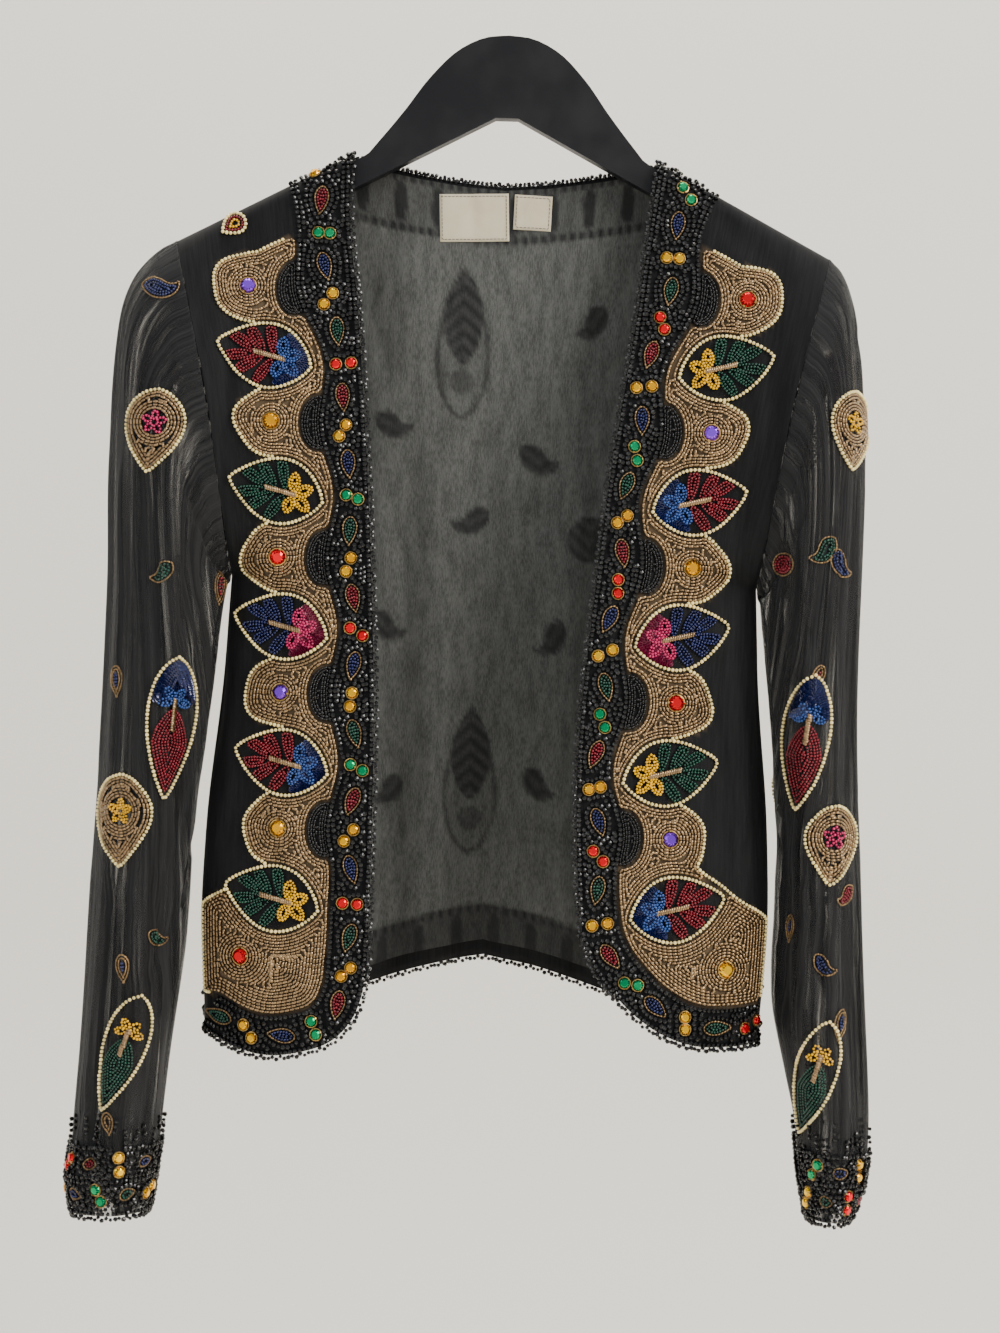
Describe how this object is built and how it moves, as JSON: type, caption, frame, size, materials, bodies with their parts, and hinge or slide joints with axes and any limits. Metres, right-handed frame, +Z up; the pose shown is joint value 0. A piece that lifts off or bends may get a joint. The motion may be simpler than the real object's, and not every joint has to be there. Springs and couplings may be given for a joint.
{
  "type": "bolero jacket on a hanger",
  "caption": "Open-fronted cropped jacket with long sheer sleeves and a beaded border, hanging on a plain flat hanger.",
  "frame": {"origin": "middle of the hanger's flat underside seat, where a post carries it", "axes": "+Z up; -Y is the jacket's front; the wearer's right sleeve is at -X"},
  "size_m": [0.5058, 0.1083, 0.7453],
  "materials": {
    "black_hanger": "matte black paint",
    "black_silk": "crinkled silk georgette over a lining",
    "sheer_black_silk": "crinkled see-through silk georgette",
    "grey_lining": "finely crinkled lining",
    "black_beads": "black glass beads",
    "gold_beads": "antique gold glass tubes in rows",
    "petal_beads": "coloured glass beads in rows",
    "purple_stone": "cut glass",
    "yellow_stone": "cut glass",
    "red_stone": "cut glass",
    "label_cloth": "woven, bare"
  },
  "bodies": {
    "root": {"hanger": "black_hanger", "back": "black_silk", "back_lining": "grey_lining", "back_neck_band": "black_beads", "back_hem_band": "black_beads", "back_upper_petal": "petal_beads", "back_lower_petal": "petal_beads", "neck_label": "label_cloth", "care_label": "label_cloth", "right_front": "black_silk", "right_front_band": "black_beads", "right_gold_border": "gold_beads", "right_sleeve": "sheer_black_silk", "right_cuff": "black_beads", "right_upper_medallion": "gold_beads", "right_lower_medallion": "gold_beads", "right_long_petal": "petal_beads", "right_wrist_petal": "petal_beads", "right_stone_1": "purple_stone", "right_stone_2": "yellow_stone", "right_stone_3": "red_stone", "right_stone_4": "purple_stone", "right_stone_5": "yellow_stone", "right_stone_6": "red_stone", "left_front": "black_silk", "left_front_band": "black_beads", "left_gold_border": "gold_beads", "left_sleeve": "sheer_black_silk", "left_cuff": "black_beads", "left_upper_medallion": "gold_beads", "left_lower_medallion": "gold_beads", "left_long_petal": "petal_beads", "left_wrist_petal": "petal_beads", "left_stone_1": "red_stone", "left_stone_2": "purple_stone", "left_stone_3": "yellow_stone", "left_stone_4": "red_stone", "left_stone_5": "purple_stone", "left_stone_6": "yellow_stone"}
  },
  "joints": []
}
